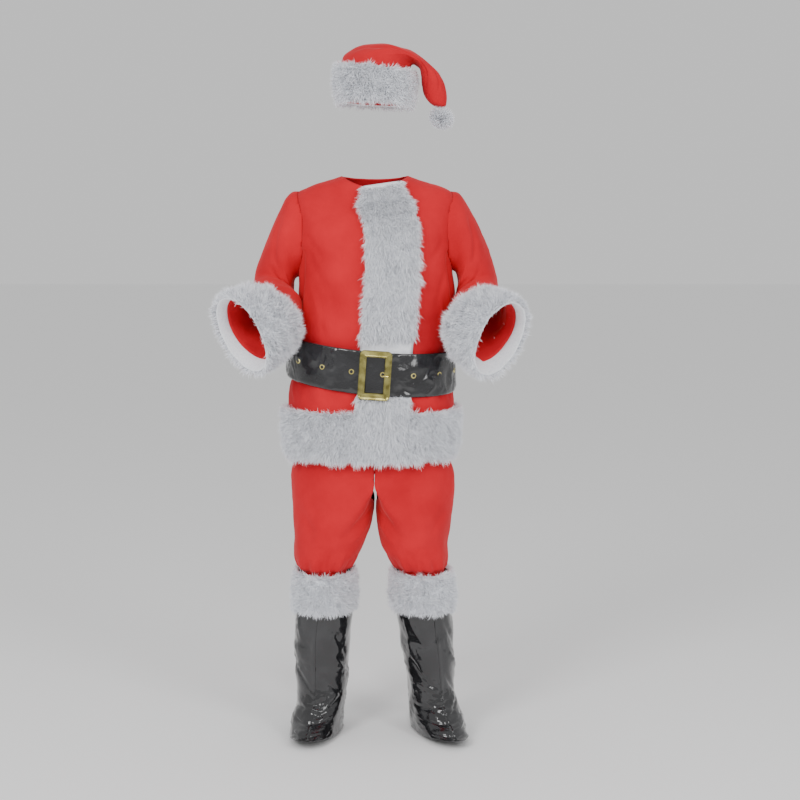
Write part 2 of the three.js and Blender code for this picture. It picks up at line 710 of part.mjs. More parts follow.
eyeletAngles().forEach((angle, i) => {
  const way = outward(angle);
  const ring = add(`eyelet_${String(i + 1).padStart(2, '0')}`, eyeletGeometry(), gold);
  ring.position.copy(belt(angle, 0, SEAM + 0.15));
  ring.quaternion.setFromUnitVectors(new THREE.Vector3(0, 1, 0), way);
  const hole = new THREE.CylinderGeometry(EYELET.inner, EYELET.inner, 20, EYELET.sides);
  hole.applyQuaternion(ring.quaternion);
  hole.translate(...belt(angle, 0, 0).toArray());
  strap = strap.subtract(toSolid(hole));
});
add('belt_strap', toGeometry(strap), black);

// Buckle: a rectangular frame with a raised outer and inner rim, and a short hooked prong.
const BUCKLE_SECTION = table('across high', [
  [0, 0], [0, 0.8], [0.12, 1], [0.34, 0.8], [0.7, 0.62], [0.84, 0.72], [1, 0.4], [1, 0],
]);

function buckleLoops() {
  const loops = [];
  const { width, height, corner, bar, thick } = BUCKLE;
  for (const [sx, sz, start] of [[1, 1, 0], [-1, 1, 90], [-1, -1, 180], [1, -1, 270]]) {
    for (const turn of steps(0, 90, 4)) {
      const cosine = Math.cos((start + turn) * DEGREE);
      const sine = Math.sin((start + turn) * DEGREE);
      loops.push(BUCKLE_SECTION.map(({ across, high }) => {
        const reach = corner - across * bar;
        const cx = sx * (width / 2 - corner);
        const cz = sz * (height / 2 - corner);
        const rx = reach > 0 ? cosine * reach : sx * reach;
        const rz = reach > 0 ? sine * reach : sz * reach;
        return new THREE.Vector3(cx + rx, -high * thick, cz + rz);
      }));
    }
  }
  return loops;
}

const buckle = new THREE.Group();
buckle.position.set(BUCKLE.x, -BELT.front - 2.6, BUCKLE.z);
buckle.rotation.y = BUCKLE.tilt * DEGREE;
suit.add(buckle);
const frame = new THREE.Mesh(loft(buckleLoops(), true), gold);
frame.name = 'buckle_frame';
buckle.add(frame);

const prongPath = [[34, -8.2, 0], [28, -8.2, 0], [22.6, -7.9, 0], [20.2, -6, 0], [19.7, 1.4, 0]];
const prongRadius = 1.6;
const prongLoops = prongPath.map(([x, y, z], i) => {
  const ahead = prongPath[Math.min(i + 1, prongPath.length - 1)];
  const behind = prongPath[Math.max(i - 1, 0)];
  const run = new THREE.Vector3(ahead[0] - behind[0], ahead[1] - behind[1], 0).normalize();
  const across = new THREE.Vector3(-run.y, run.x, 0);
  return steps(0, 360, 8).slice(0, -1).map((angle) => (
    new THREE.Vector3(x, y, z)
      .addScaledVector(across, prongRadius * Math.cos(angle * DEGREE))
      .add(new THREE.Vector3(0, 0, prongRadius * Math.sin(angle * DEGREE)))
  ));
});
const prong = new THREE.Mesh(loft(prongLoops), gold);
prong.name = 'buckle_prong';
buckle.add(prong);

export default suit;
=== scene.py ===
"""Santa suit: hat, jacket, belt, trousers and boot covers, hollow as worn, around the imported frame.

The tables are in millimetres, in the frame's axes: +Z up, the wearer faces -Y.
"""
import math

import bmesh
import bpy
import mathutils
import numpy as np
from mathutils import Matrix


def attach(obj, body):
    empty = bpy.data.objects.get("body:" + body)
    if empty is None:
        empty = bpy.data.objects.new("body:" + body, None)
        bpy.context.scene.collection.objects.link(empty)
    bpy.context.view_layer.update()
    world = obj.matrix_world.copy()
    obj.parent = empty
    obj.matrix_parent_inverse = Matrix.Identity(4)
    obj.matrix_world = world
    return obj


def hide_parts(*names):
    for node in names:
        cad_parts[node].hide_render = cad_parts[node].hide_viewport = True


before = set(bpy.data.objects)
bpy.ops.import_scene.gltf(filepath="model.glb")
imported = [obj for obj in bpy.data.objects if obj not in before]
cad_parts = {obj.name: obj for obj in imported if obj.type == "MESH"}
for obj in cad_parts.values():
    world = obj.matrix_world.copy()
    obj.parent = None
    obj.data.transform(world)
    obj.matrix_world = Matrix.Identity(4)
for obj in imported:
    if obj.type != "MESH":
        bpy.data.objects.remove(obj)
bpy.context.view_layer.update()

MM = 0.001
BODY = "root"

# Driving sizes
PLUSH = 2.0
VINYL = 1.5
FUR_REACH = 18.0
BOOT_FUR_REACH = 12.0
HAT_FUR_REACH = 17.0
PLACKET_WIDTH = 132.0
BELT_WIDTH = 112.0
BELT_THICK = 3.0
FLOOR_Z = -1480.0
SIDE_GAP = 0.06
CAMERA_PLACE = (0.066, -4.05, -0.11)
CAMERA_TILT_DOWN = 6.62
CAMERA_LENS = 68.94
FLOOR_HALF = 30.0


def table(names, rows):
    """Rows of numbers as named columns."""
    return {key: np.array(column, float) for key, column in zip(names.split(), zip(*rows))}


TORSO = table("z front_drop back_drop left right front back", [
    (-716, 0, 0, 202, 226, 152, 132),
    (-655, 0, 0, 205, 228, 155, 133),
    (-596, 0, 0, 211, 229, 158, 133),
    (-548, 0, 0, 205, 227, 159, 130),
    (-490, 0, 0, 197, 213, 153, 124),
    (-425, 0, 0, 196, 211, 150, 124),
    (-365, 0, 0, 206, 206, 149, 126),
    (-295, 0, 0, 209, 201, 145, 128),
    (-220, 4, 2, 203, 201, 138, 128),
    (-150, 12, 6, 205, 204, 130, 126),
    (-95, 24, 12, 208, 208, 119, 121),
    (-55, 38, 18, 208, 208, 106, 112),
    (-32, 44, 20, 200, 200, 96, 102),
    (-19, 44, 20, 176, 176, 88, 92),
    (-4, 38, 14, 128, 128, 80, 80),
    (10, 30, 6, 86, 86, 74, 68),
])
PLACKET_MIDDLE = {"x": np.array([16, 17, 20, 23, 28, 32, 37, 42, 46, 46, 42, 36, 31, 27, 22, 18], float)}
SLEEVE_COLUMNS = "x y z run_x run_y run_z lean tall deep"
RIGHT_SLEEVE = table(SLEEVE_COLUMNS, [
    (-150, 12, -134, -1, 0, 0, 0, 101, 70),
    (-210, 12, -143, -1, 0, -0.04, 2, 112, 75),
    (-239, 15, -194, -0.97, 0, -0.25, 14, 93, 78),
    (-253, 18, -238, -0.8, -0.1, -0.5, 30, 76, 76),
    (-263, 14, -284, -0.5, -0.42, -0.76, 52, 64, 74),
    (-262, -45, -325, -0.22, -0.85, -0.47, 46, 73, 72),
    (-274, -122, -355, -0.36, -0.82, -0.44, 38, 84, 76),
    (-333, -197, -392, -0.68, -0.62, -0.39, 6, 98, 84),
])
LEFT_SLEEVE = table(SLEEVE_COLUMNS, [
    (150, 12, -128, 1, 0, 0, 0, 96, 70),
    (212, 12, -135, 1, 0, -0.04, -2, 103, 75),
    (240, 15, -182, 0.97, 0, -0.25, -14, 87, 78),
    (254, 18, -228, 0.8, -0.1, -0.5, -30, 75, 76),
    (269, 14, -286, 0.5, -0.42, -0.76, -54, 63, 74),
    (269, -45, -332, 0.22, -0.85, -0.47, -46, 70, 72),
    (266, -122, -362, 0.36, -0.82, -0.44, -38, 83, 76),
    (318, -197, -402, 0.68, -0.62, -0.39, 8, 98, 84),
])
SLEEVE_HEM_ROW = 6.6
CUFF_ROWS = (5.98, 7.0)
LEG_COLUMNS = "z inner outer front back round"
RIGHT_LEG = table(LEG_COLUMNS, [
    (-430, 0.2, 184, 116, 100, 0),
    (-520, 0.2, 194, 128, 108, 0),
    (-620, 0.2, 207, 136, 116, 0),
    (-716, 0.2, 216, 138, 118, 0),
    (-785, 0.4, 226, 136, 124, 0),
    (-850, 2, 222, 128, 124, 0.35),
    (-905, 9, 220, 118, 118, 0.8),
    (-960, 28, 219, 110, 112, 1),
    (-998, 46, 219, 104, 106, 1),
    (-1022, 62, 213, 94, 96, 1),
    (-1039, 76, 198, 76, 78, 1),
    (-1100, 79, 195, 73, 75, 1),
])
LEFT_LEG = table(LEG_COLUMNS, [
    (-430, 0.2, 172, 116, 100, 0),
    (-520, 0.2, 180, 128, 108, 0),
    (-620, 0.2, 190, 136, 116, 0),
    (-716, 0.2, 197, 138, 118, 0),
    (-785, 0.4, 212, 136, 124, 0),
    (-850, 1, 209, 128, 124, 0.35),
    (-905, 4, 202, 118, 118, 0.8),
    (-960, 12, 194, 110, 112, 1),
    (-998, 32, 196, 104, 106, 1),
    (-1022, 48, 193, 94, 96, 1),
    (-1039, 64, 184, 76, 78, 1),
    (-1100, 67, 182, 73, 75, 1),
])
CROTCH_ROW = 5.0
CROTCH_START_ROW = 3.6
BOOT_COLUMNS = "z x y half toe heel toe_drop"
RIGHT_BOOT = table(BOOT_COLUMNS, [
    (-1042, -136, 0, 70, 84, 84, 0),
    (-1138, -138, 0, 75, 88, 88, 0),
    (-1225, -145, 0, 76, 86, 87, 0),
    (-1292, -146, 0, 72, 82, 84, 0),
    (-1348, -146, 0, 68, 84, 82, 2),
    (-1392, -147, 0, 65, 100, 80, 8),
    (-1424, -152, 0, 66, 136, 83, 10),
    (-1448, -155, 0, 67, 172, 87, 6),
    (-1474, -156, 0, 67, 196, 90, -22),
])
LEFT_BOOT = table(BOOT_COLUMNS, [
    (-1042, 124, 0, 70, 84, 84, 0),
    (-1138, 129, 0, 73, 88, 88, 0),
    (-1225, 138, 0, 70, 86, 87, 0),
    (-1292, 146, 0, 65, 82, 84, 0),
    (-1348, 149, 0, 61, 84, 82, 2),
    (-1392, 153, 0, 62, 104, 80, 8),
    (-1424, 158, 0, 66, 140, 83, 10),
    (-1448, 160, 0, 67, 172, 87, 6),
    (-1474, 162, 0, 66, 196, 90, -22),
])
RIGHT_TOE_TURN = -8.5
LEFT_TOE_TURN = 17.0
HAT = table("in_x in_z out_x out_z deep", [
    (87, 196, -87, 204, 104),
    (90, 268, -88, 288, 108),
    (95, 290, -82, 315, 102),
    (101, 297, -44, 340, 96),
    (107, 297, 20, 349, 84),
    (113, 293, 80, 335, 70),
    (118, 284, 130, 308, 56),
    (121, 268, 167, 272, 44),
    (124, 246, 184, 240, 36),
    (130, 219, 188, 212, 29),
    (142, 198, 186, 192, 21),
    (160, 186, 180, 184, 8),
])
POMPOM = np.array((173.0, 0.0, 158.0))
POMPOM_RADIUS = 27.0
BELT = {"left": 214.0, "right": 236.0, "front": 171.0, "back": 137.0,
        "z": -472.0, "side_fall": 20.0, "front_fall": 21.5}

# Creases: from one angle and row to another, with half width and depth.
CREASE_COLUMNS = "angle row to_angle to_row width depth"
TORSO_CREASES = table(CREASE_COLUMNS, [
    (205, 8.6, 196, 6.4, 16, -7),
    (338, 8.6, 345, 6.8, 15, -7),
    (214, 4.2, 224, 2.2, 13, -5),
    (236, 4.1, 232, 2.4, 12, 4),
    (318, 4.0, 326, 2.5, 13, -5),
    (150, 8.4, 158, 6.2, 18, -7),
    (32, 8.4, 24, 6.2, 18, -7),
    (70, 4.2, 76, 2.2, 15, 5),
    (112, 4.2, 106, 2.4, 14, -5),
    (212, 9.2, 232, 8.2, 9, -3),
    (214, 8.4, 240, 6.9, 10, -3),
    (216, 7.2, 238, 5.6, 9, 3),
    (228, 6.6, 236, 5.2, 7, -3),
    (330, 9.0, 312, 8.1, 9, -3),
    (334, 8.0, 316, 6.6, 9, -3),
    (326, 6.9, 322, 5.3, 8, 3),
    (222, 4.0, 226, 2.7, 6, -3),
    (246, 3.9, 244, 2.3, 6, -3),
    (308, 3.8, 310, 2.4, 7, -3),
    (334, 3.9, 340, 2.5, 7, -3),
    (196, 3.9, 204, 2.4, 7, 3),
    (60, 8.8, 96, 7.4, 12, -4),
    (118, 8.9, 84, 6.4, 12, -4),
    (140, 6.8, 100, 5.4, 10, -4),
    (44, 6.9, 74, 5.3, 10, -4),
    (90, 4.1, 94, 2.5, 8, -3),
    (50, 4.0, 46, 2.4, 8, -4),
    (130, 4.0, 136, 2.5, 8, -4),
])
SLEEVE_CREASES = table(CREASE_COLUMNS, [
    (150, 3.7, 230, 4.5, 11, -7),
    (130, 4.3, 235, 5.1, 10, 6),
    (160, 4.9, 240, 5.7, 10, -6),
    (40, 1.5, 85, 2.9, 14, -5),
    (320, 1.6, 285, 3.1, 14, -5),
    (100, 5.0, 60, 6.2, 12, 4),
    (185, 2.9, 262, 3.7, 8, -4),
    (205, 4.2, 290, 4.7, 7, -5),
    (210, 4.7, 300, 5.3, 8, 4),
    (200, 5.4, 292, 6.0, 7, -4),
    (250, 2.3, 232, 3.4, 9, 3),
    (300, 3.4, 268, 4.4, 8, -3),
    (60, 2.4, 120, 3.5, 9, -4),
    (70, 3.4, 130, 4.3, 8, -4),
    (30, 4.6, 75, 5.6, 8, -3),
    (340, 5.2, 300, 6.3, 7, 3),
])
LEG_CREASES = table(CREASE_COLUMNS, [
    (215, 4.4, 250, 6.6, 15, -6),
    (300, 4.5, 285, 7.0, 15, 5),
    (140, 4.6, 110, 6.8, 16, -6),
    (60, 4.6, 75, 7.0, 16, 5),
    (262, 7.2, 258, 9.4, 9, -5),
    (240, 7.4, 238, 9.5, 8, 5),
    (287, 7.6, 290, 9.5, 8, 5),
    (95, 7.3, 92, 9.4, 9, -5),
    (220, 7.9, 216, 9.7, 6, -4),
    (250, 8.1, 248, 9.8, 5, -4),
    (273, 7.8, 275, 9.8, 5, -4),
    (300, 7.9, 303, 9.8, 6, -4),
    (318, 7.6, 322, 9.7, 7, 4),
    (340, 7.9, 342, 9.7, 7, -4),
    (196, 7.8, 196, 9.7, 7, 4),
    (20, 7.7, 22, 9.7, 8, -4),
    (45, 7.9, 46, 9.7, 7, 4),
    (70, 7.8, 68, 9.8, 6, -4),
    (118, 7.9, 120, 9.8, 6, 4),
    (142, 7.7, 140, 9.7, 7, -4),
    (205, 5.0, 232, 5.9, 7, -4),
    (200, 5.6, 240, 7.0, 7, 3),
    (330, 5.2, 296, 6.4, 8, -3),
])
BOOT_CREASES = table(CREASE_COLUMNS, [
    (270, 0.9, 270, 5.2, 9, 5),
    (180, 1.9, 262, 2.1, 9, -4),
    (195, 5.3, 300, 4.5, 9, -5),
    (340, 4.4, 275, 5.6, 8, -4),
    (90, 1.4, 90, 6.4, 9, 4),
    (40, 5.0, 140, 5.6, 10, -5),
    (290, 1.2, 345, 2.6, 6, -4),
    (300, 2.4, 350, 3.4, 5, 4),
    (200, 2.7, 255, 3.9, 5, -4),
    (215, 1.1, 240, 2.0, 5, 4),
    (285, 3.3, 335, 4.5, 6, -4),
    (230, 4.8, 310, 5.2, 5, 4),
    (220, 5.9, 318, 5.7, 6, -5),
    (250, 6.4, 322, 6.2, 4, 3),
    (228, 6.9, 300, 6.8, 5, -4),
    (150, 1.6, 110, 3.6, 6, -4),
    (30, 2.0, 70, 3.8, 6, -4),
    (60, 4.4, 130, 4.8, 6, 4),
    (20, 5.7, 80, 6.0, 6, -4),
])
HAT_CREASES = table(CREASE_COLUMNS, [
    (150, 1.8, 35, 5.2, 10, -5),
    (215, 2.4, 300, 6.4, 10, -5),
    (120, 4.4, 60, 8.2, 8, -4),
    (240, 3.6, 320, 8.4, 8, -4),
    (250, 1.7, 262, 3.8, 7, 4),
    (280, 2.6, 300, 6.0, 6, 3),
    (205, 4.6, 250, 8.6, 6, -4),
    (190, 5.2, 215, 9.4, 5, -3),
    (165, 2.2, 120, 6.0, 7, -4),
    (80, 2.4, 60, 6.6, 7, 3),
])


def between(rows, place):
    """Every column's value at places between rows, smooth and with no overshoot."""
    count = len(next(iter(rows.values())))
    first = np.clip(np.floor(place).astype(int), 0, count - 2)
    t = place - first
    values = {}
    for key, column in rows.items():
        rise = np.diff(column)
        slope = np.empty(count)
        slope[0], slope[-1] = rise[0], rise[-1]
        product = rise[:-1] * rise[1:]
        total = rise[:-1] + rise[1:]
        total = np.where(total == 0, 1, total)
        slope[1:-1] = np.where(product > 0, 2 * product / total, 0)
        start, end = column[first], column[first + 1]
        values[key] = ((2 * t**3 - 3 * t**2 + 1) * start + (t**3 - 2 * t**2 + t) * slope[first]
                       + (3 * t**2 - 2 * t**3) * end + (t**3 - t**2) * slope[first + 1])
    return values


def power(value, exponent):
    """A power that keeps the sign."""
    return np.sign(value) * np.abs(value) ** exponent


TORSO_SQUARE = 0.9


def torso_point(angle, row):
    s = between(TORSO, row)
    c, d = np.cos(np.radians(angle)), np.sin(np.radians(angle))
    x = power(c, TORSO_SQUARE) * np.where(c > 0, s["left"], s["right"])
    y = power(d, TORSO_SQUARE) * np.where(d > 0, s["back"], s["front"])
    drop = np.where(d > 0, s["back_drop"], s["front_drop"]) * d * d
    return np.stack((x, y, s["z"] - drop), -1)


def unit(v):
    return v / np.maximum(np.linalg.norm(v, axis=-1, keepdims=True), 1e-9)


def sleeve_point(rows):
    def point(angle, row):
        s = between(rows, row)
        run = unit(np.stack((s["run_x"], s["run_y"], s["run_z"]), -1))
        lean = np.radians(s["lean"])
        top = np.stack((-np.sin(lean), np.zeros_like(lean), np.cos(lean)), -1)
        top = unit(top - run * np.sum(run * top, -1, keepdims=True))
        side = np.cross(run, top)
        centre = np.stack((s["x"], s["y"], s["z"]), -1)
        c, d = np.cos(np.radians(angle)), np.sin(np.radians(angle))
        return centre + top * (s["tall"] * c)[..., None] + side * (s["deep"] * d)[..., None]
    return point


def leg_point(rows, side):
    def point(angle, row):
        s = between(rows, row)
        c, d = np.cos(np.radians(angle)), np.sin(np.radians(angle))
        tube = (s["outer"] + s["inner"]) / 2 + (s["outer"] - s["inner"]) / 2 * c
        shared = s["inner"] + (s["outer"] - s["inner"]) * np.maximum(0, c)
        x = tube * s["round"] + shared * (1 - s["round"])
        return np.stack((side * x, d * np.where(d > 0, s["back"], s["front"]), s["z"]), -1)
    return point


def boot_point(rows, turn):
    cosine, sine = math.cos(math.radians(turn)), math.sin(math.radians(turn))

    def point(angle, row):
        s = between(rows, row)
        c, d = np.cos(np.radians(angle)), np.sin(np.radians(angle))
        across = s["half"] * c
        along = d * np.where(d > 0, s["heel"], s["toe"])
        drop = np.where(d < 0, s["toe_drop"] * d * d, 0)
        x = s["x"] + across * cosine - along * sine
        y = s["y"] + across * sine + along * cosine
        return np.stack((x, y, s["z"] - drop), -1)
    return point


def hat_point(angle, row):
    s = between(HAT, row)
    half = (1 + np.cos(np.radians(angle))) / 2
    x = s["out_x"] + (s["in_x"] - s["out_x"]) * half
    z = s["out_z"] + (s["in_z"] - s["out_z"]) * half
    return np.stack((x, s["deep"] * np.sin(np.radians(angle)), z), -1)


def belt_point(angle, height):
    angle, height = np.broadcast_arrays(angle, height)
    c, d = np.cos(np.radians(angle)), np.sin(np.radians(angle))
    x = c * np.where(c > 0, BELT["left"], BELT["right"])
    y = d * np.where(d > 0, BELT["back"], BELT["front"])
    z = BELT["z"] - BELT["side_fall"] * c + BELT["front_fall"] * d + height
    return np.stack((x, y, z), -1)


def crease_depth(creases, scale, angle, row):
    """How far the creases lift the cloth, with the form's millimetres in a degree and a row."""
    depth = np.zeros(np.broadcast(angle, row).shape)
    if creases is None:
        return depth
    for a, r, to_a, to_r, width, deep in zip(*creases.values()):
        turn = (angle - a + 180) % 360 - 180
        px, py = turn * scale[0], (row - r) * scale[1]
        lx, ly = (to_a - a) * scale[0], (to_r - r) * scale[1]
        t = np.clip((px * lx + py * ly) / (lx * lx + ly * ly), 0, 1)
        away = np.hypot(px - t * lx, py - t * ly) / width
        depth += deep * np.exp(-away * away) * np.sqrt(4 * t * (1 - t))
    return depth


def waves(points, size, seed, count=14):
    """Soft seeded noise between about -1 and 1 at points, with features of about a size."""
    rng = np.random.default_rng(seed)
    total = np.zeros(points.shape[:-1])
    for _ in range(count):
        way = unit(rng.normal(size=3)) * 2 * math.pi / (size * rng.uniform(0.7, 1.6))
        total += np.sin(points @ way + rng.uniform(0, 2 * math.pi))
    return total / math.sqrt(count / 2) / 1.6


def ridges(points, size, seed):
    """Sharp crinkles: thin crests where soft noise passes through zero."""
    bend = waves(points, size * 2.2, seed + 1)[..., None] * size * 0.5
    return 1 - np.minimum(np.abs(waves(points + bend, size, seed)) * 2.4, 1)


class Surface:
    """A form with its creases, lifted off its surface."""

    def __init__(self, point, creases=None, scale=(1, 1), rough=None):
        self.point, self.creases, self.scale, self.rough = point, creases, scale, rough
        zero, one = np.array([0.0]), np.array([1.0])
        middle = (point(zero, one) + point(zero + 180, one)) / 2
        self.side = 1.0
        self.side = float(np.sign(np.sum(self.normal(zero, one) * (point(zero, one) - middle))))

    def normal(self, angle, row):
        around = self.point(angle + 0.5, row) - self.point(angle - 0.5, row)
        along = self.point(angle, row + 0.02) - self.point(angle, row - 0.02)
        return unit(np.cross(around, along)) * self.side

    def __call__(self, angle, row, lift=0.0):
        angle, row = np.broadcast_arrays(np.asarray(angle, float), np.asarray(row, float))
        points = self.point(angle, row)
        depth = crease_depth(self.creases, self.scale, angle, row) + lift
        if self.rough:
            depth = depth + self.rough(points)
        return points + self.normal(angle, row) * depth[..., None]


def new_object(name, points, faces, material):
    """A smooth mesh object of points in millimetres."""
    mesh = bpy.data.meshes.new(name)
    mesh.from_pydata((np.asarray(points) * MM).tolist(), [], [tuple(face) for face in faces])
    mesh.materials.append(material)
    mesh.polygons.foreach_set("use_smooth", [True] * len(mesh.polygons))
    mesh.update()
    obj = bpy.data.objects.new(name, mesh)
    bpy.context.scene.collection.objects.link(obj)
    return obj


def quads(grid):
    """The four-cornered faces of a grid of point numbers."""
    return np.stack((grid[:-1, :-1], grid[:-1, 1:], grid[1:, 1:], grid[1:, :-1]), -1).reshape(-1, 4)


def ring(index):
    """A grid of point numbers whose last column meets its first."""
    return np.concatenate((index, index[:, :1]), 1)


def caps(line, hub):
    """Triangles from a ring's line of point numbers to its middle point."""
    return [(int(a), int(b), hub) for a, b in zip(line[:-1], line[1:])]


def face_out(obj):
    """Turns a closed mesh's faces outward."""
    bm = bmesh.new()
    bm.from_mesh(obj.data)
    bmesh.ops.recalc_face_normals(bm, faces=bm.faces)
    if bm.calc_volume(signed=True) < 0:
        bmesh.ops.reverse_faces(bm, faces=bm.faces)
    bm.to_mesh(obj.data)
    bm.free()
    return obj


def shell(name, surface, rows, edges, across, thickness, material, closed=False):
    """A closed wall of cloth between two edges, or all round, with its outside on the surface."""
    rows = np.asarray(rows, float)
    if closed:
        share = np.arange(across) / across
    else:
        share = np.linspace(0, 1, across + 1)
    limits = np.array([edges(r) for r in rows])
    angle = limits[:, :1] + (limits[:, 1:] - limits[:, :1]) * share
    row = np.repeat(rows[:, None], len(share), 1)
    outside, inside = surface(angle, row), surface(angle, row, -thickness)
    nr, nc = row.shape
    points = np.concatenate((outside.reshape(-1, 3), inside.reshape(-1, 3)))
    index = np.arange(nr * nc).reshape(nr, nc)
    if closed:
        index = ring(index)
    other = index + nr * nc
    faces = [quads(index), quads(other)[:, ::-1]]
    for line, back in ((index[0], other[0]), (other[-1], index[-1])):
        faces.append(quads(np.stack((back, line))))
    if not closed:
        for line, back in ((index[:, 0], other[:, 0]), (other[:, -1], index[:, -1])):
            faces.append(quads(np.stack((line, back))))
    return face_out(new_object(name, points, np.concatenate(faces).tolist(), material))


def block(name, surface, rows, around, lift):
    """A closed solid inside a form, for cutting."""
    angle = np.arange(around) * 360.0 / around
    grid = surface(angle[None, :], np.asarray(rows, float)[:, None], lift)
    nr = len(rows)
    points = np.concatenate((grid.reshape(-1, 3), grid[:1].mean(1), grid[-1:].mean(1)))
    index = ring(np.arange(nr * around).reshape(nr, around))
    faces = quads(index).tolist()
    faces += caps(index[0], nr * around)
    faces += caps(index[-1], nr * around + 1)
    return face_out(new_object(name, points, faces, RED))


def cut(obj, *tools):
    """Cuts tools out of a piece."""
    for tool in tools:
        modifier = obj.modifiers.new("cut", "BOOLEAN")
        modifier.operation = "DIFFERENCE"
        modifier.object = tool
        modifier.solver = "MANIFOLD"
        with bpy.context.temp_override(object=obj, active_object=obj):
            bpy.ops.object.modifier_apply(modifier=modifier.name)
    return obj


def largest(obj):
    """Keeps the largest connected part of a piece."""
    bm = bmesh.new()
    bm.from_mesh(obj.data)
    bm.verts.ensure_lookup_table()
    seen, groups = set(), []
    for start in bm.verts:
        if start in seen:
            continue
        group, stack = [], [start]
        seen.add(start)
        while stack:
            v = stack.pop()
            group.append(v)
            for e in v.link_edges:
                w = e.other_vert(v)
                if w not in seen:
                    seen.add(w)
                    stack.append(w)
        groups.append(group)
    groups.sort(key=len)
    for group in groups[:-1]:
        bmesh.ops.delete(bm, geom=group, context="VERTS")
    bm.to_mesh(obj.data)
    bm.free()
    return obj


# Materials
def nodes_of(name):
    material = bpy.data.materials.new(name)
    material.use_nodes = True
    tree = material.node_tree
    return material, tree, tree.nodes["Principled BSDF"]


def noise_node(tree, scale, detail=3.0, stretch=None):
    where = tree.nodes.new("ShaderNodeTexCoord")
    noise = tree.nodes.new("ShaderNodeTexNoise")
    noise.inputs["Scale"].default_value = scale
    noise.inputs["Detail"].default_value = detail
    source = where.outputs["Object"]
    if stretch:
        mapping = tree.nodes.new("ShaderNodeMapping")
        mapping.inputs["Scale"].default_value = stretch
        tree.links.new(source, mapping.inputs["Vector"])
        source = mapping.outputs["Vector"]
    tree.links.new(source, noise.inputs["Vector"])
    return noise


def tint(tree, noise, low, high, shader):
    ramp = tree.nodes.new("ShaderNodeValToRGB")
    ramp.color_ramp.elements[0].color = (*low, 1)
    ramp.color_ramp.elements[1].color = (*high, 1)
    ramp.color_ramp.elements[0].position = 0.3
    ramp.color_ramp.elements[1].position = 0.7
    tree.links.new(noise.outputs["Fac"], ramp.inputs["Fac"])
    tree.links.new(ramp.outputs["Color"], shader.inputs["Base Color"])


def bumps(tree, shader, *layers):
    """Adds bump layers, each a noise with a strength and a distance in metres."""
    last = None
    for noise, strength, distance in layers:
        bump = tree.nodes.new("ShaderNodeBump")
        bump.inputs["Strength"].default_value = strength
        bump.inputs["Distance"].default_value = distance
        tree.links.new(noise.outputs["Fac"], bump.inputs["Height"])
        if last:
            tree.links.new(last.outputs["Normal"], bump.inputs["Normal"])
        last = bump
    tree.links.new(last.outputs["Normal"], shader.inputs["Normal"])


def red_plush():
    material, tree, shader = nodes_of("red_plush")
    tint(tree, noise_node(tree, 9.0, 4.0), (0.50, 0.008, 0.016), (0.62, 0.014, 0.024), shader)
    shader.inputs["Roughness"].default_value = 0.85
    shader.inputs["Sheen Weight"].default_value = 0.35
    shader.inputs["Sheen Roughness"].default_value = 0.4
    shader.inputs["Sheen Tint"].default_value = (1.0, 0.25, 0.25, 1)
    shader.inputs["Specular IOR Level"].default_value = 0.15
    folds = noise_node(tree, 60.0, 3.0)
    nap = noise_node(tree, 900.0, 2.0)
    bumps(tree, shader, (folds, 0.35, 0.0015), (nap, 0.3, 0.0004))
    return material


def white_fur():
    material, tree, shader = nodes_of("white_fur")
    tint(tree, noise_node(tree, 220.0, 2.0), (0.80, 0.82, 0.87), (0.96, 0.97, 1.0), shader)
    shader.inputs["Roughness"].default_value = 0.8
    shader.inputs["Specular IOR Level"].default_value = 0.2
    shader.inputs["Sheen Weight"].default_value = 0.2
    return material


def black_vinyl(name, crinkle):
    material, tree, shader = nodes_of(name)
    tint(tree, noise_node(tree, 14.0, 3.0), (0.006, 0.006, 0.007), (0.016, 0.016, 0.018), shader)
    shader.inputs["Roughness"].default_value = 0.14
    shader.inputs["Coat Weight"].default_value = 0.6
    shader.inputs["Coat Roughness"].default_value = 0.05
    creases = noise_node(tree, 26.0, 3.0)
    ripples = noise_node(tree, 90.0, 2.0)
    bumps(tree, shader, (creases, crinkle, 0.006), (ripples, 0.25, 0.0015))
    return material


def gold(name, low, high, rough):
    material, tree, shader = nodes_of(name)
    tint(tree, noise_node(tree, 60.0, 3.0), low, high, shader)
    shader.inputs["Metallic"].default_value = 1.0
    shader.inputs["Roughness"].default_value = rough
    bumps(tree, shader, (noise_node(tree, 300.0, 2.0), 0.1, 0.0004))
    return material


RED = red_plush()
FUR = white_fur()
BOOT_BLACK = black_vinyl("black_vinyl", 0.5)
BELT_BLACK = black_vinyl("black_vinyl_strap", 0.6)
BUCKLE_GOLD = gold("buckle_gold", (0.20, 0.17, 0.05), (0.50, 0.45, 0.16), 0.22)
EYELET_GOLD = gold("eyelet_gold", (0.75, 0.62, 0.18), (0.90, 0.80, 0.35), 0.2)


def keep(obj, slot, *nodes):
    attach(obj, BODY)
    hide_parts(*nodes)
    return obj


def soft_cloth(seed):
    return lambda points: waves(points, 70, seed) * 1.3 + waves(points, 26, seed + 5) * 0.35


def crinkled(seed, size=34):
    def rough(points):
        patch = np.clip(waves(points, 80, seed + 9) + 0.5, 0, 1)
        return ridges(points, size, seed) * 2.6 * patch + waves(points, 60, seed + 3) * 1.6
    return rough


# Fur
BAND_ALONG = np.array([0, -0.02, 0.08, 0.5, 0.92, 1.02, 1.0])
BAND_HIGH = np.array([0, 0.42, 0.85, 1, 0.85, 0.42, 0])
BODY_SHARE = 0.55
ROOT_LIFT = 0.4


